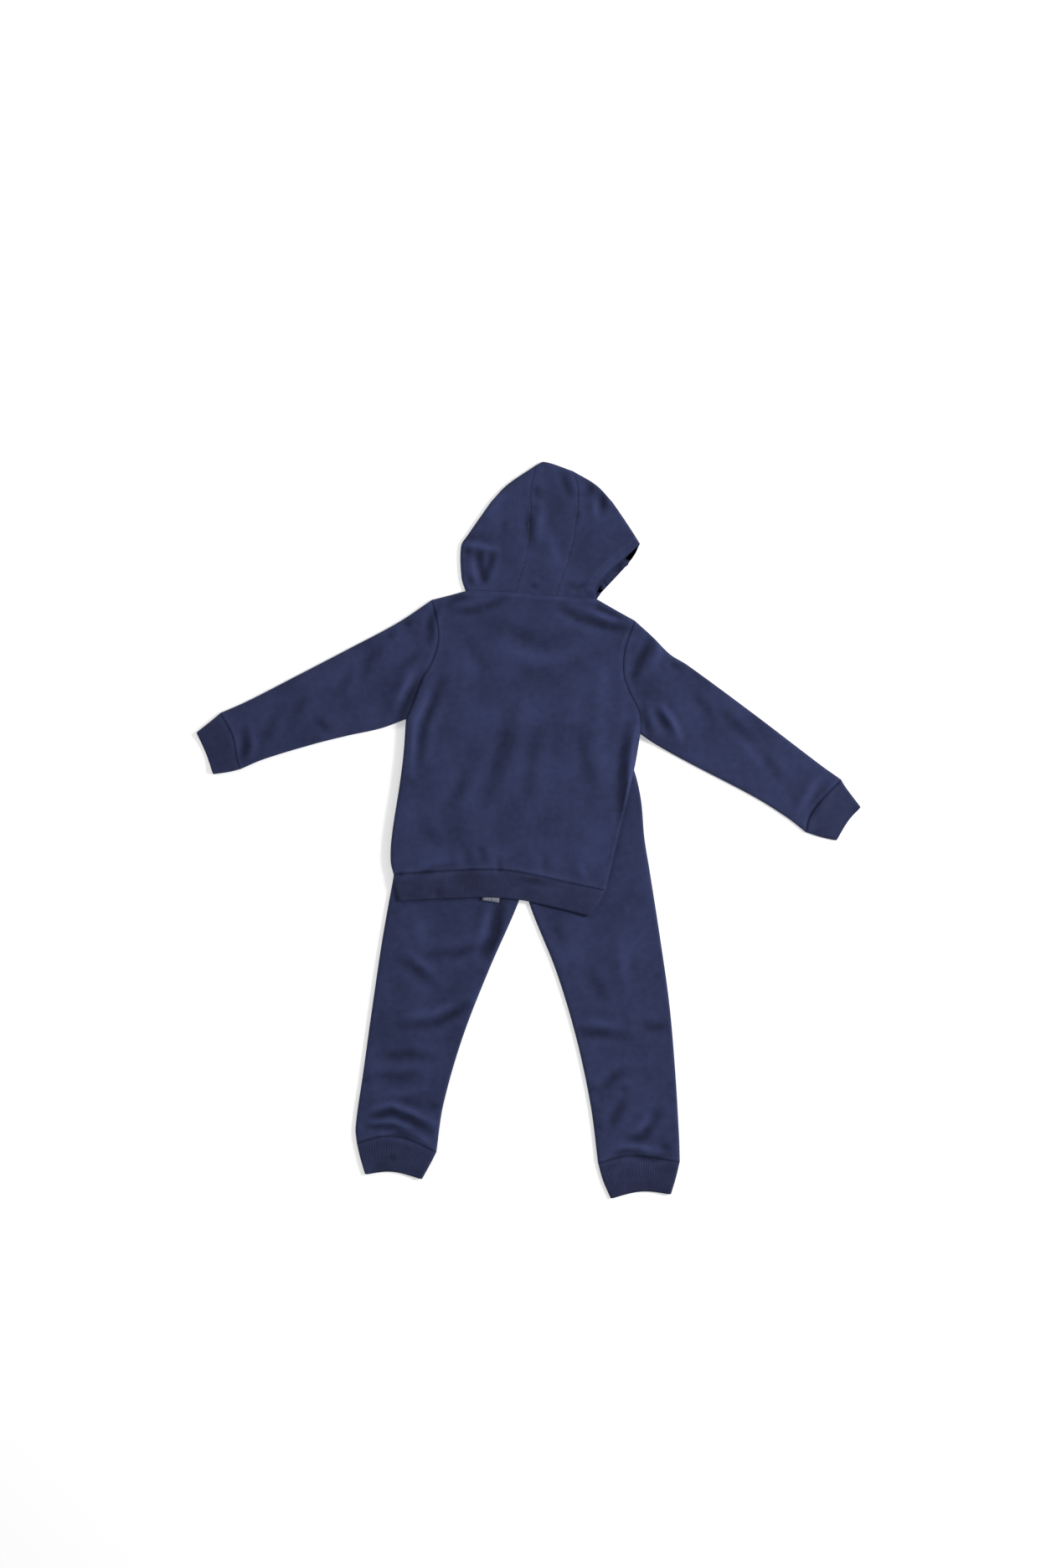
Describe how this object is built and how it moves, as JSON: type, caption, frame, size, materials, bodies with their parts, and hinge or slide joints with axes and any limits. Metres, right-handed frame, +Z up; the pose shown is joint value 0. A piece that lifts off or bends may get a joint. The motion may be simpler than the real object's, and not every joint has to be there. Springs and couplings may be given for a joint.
{
  "type": "child's tracksuit, hooded jacket laid over joggers",
  "caption": "Child's zipped hooded jacket laid flat, back up, over rib-cuffed joggers, as a cloth set seen from the back.",
  "frame": {"origin": "centre of the plan's bounding box, on the surface that the tracksuit lies on", "axes": "+X to the right of the page, +Y from the ankles towards the hood, +Z up, through the thickness of the cloth"},
  "size_m": [1.03, 1.1425, 0.0185],
  "materials": {
    "fleece": "navy sweatshirt fleece, matt with a faint nap",
    "rib": "navy ribbed knit, matt",
    "zip_tape": "grey woven zip tape",
    "zip_metal": "light grey metal, satin"
  },
  "bodies": {
    "root": {"jacket_back": "fleece", "jacket_front_left": "fleece", "jacket_front_right": "fleece", "sleeve_left": "fleece", "sleeve_right": "fleece", "hood_left": "fleece", "hood_middle": "fleece", "hood_right": "fleece", "joggers_back_left": "fleece", "joggers_back_right": "fleece", "joggers_front_left": "fleece", "joggers_front_right": "fleece", "waistband": "fleece", "hem_rib_back": "rib", "hem_rib_front_left": "rib", "hem_rib_front_right": "rib", "sleeve_cuff_left": "rib", "sleeve_cuff_right": "rib", "ankle_cuff_left": "rib", "ankle_cuff_right": "rib", "zip_tape_left": "zip_tape", "zip_tape_right": "zip_tape", "zip_slider": "zip_metal", "zip_box": "zip_metal"}
  },
  "joints": []
}
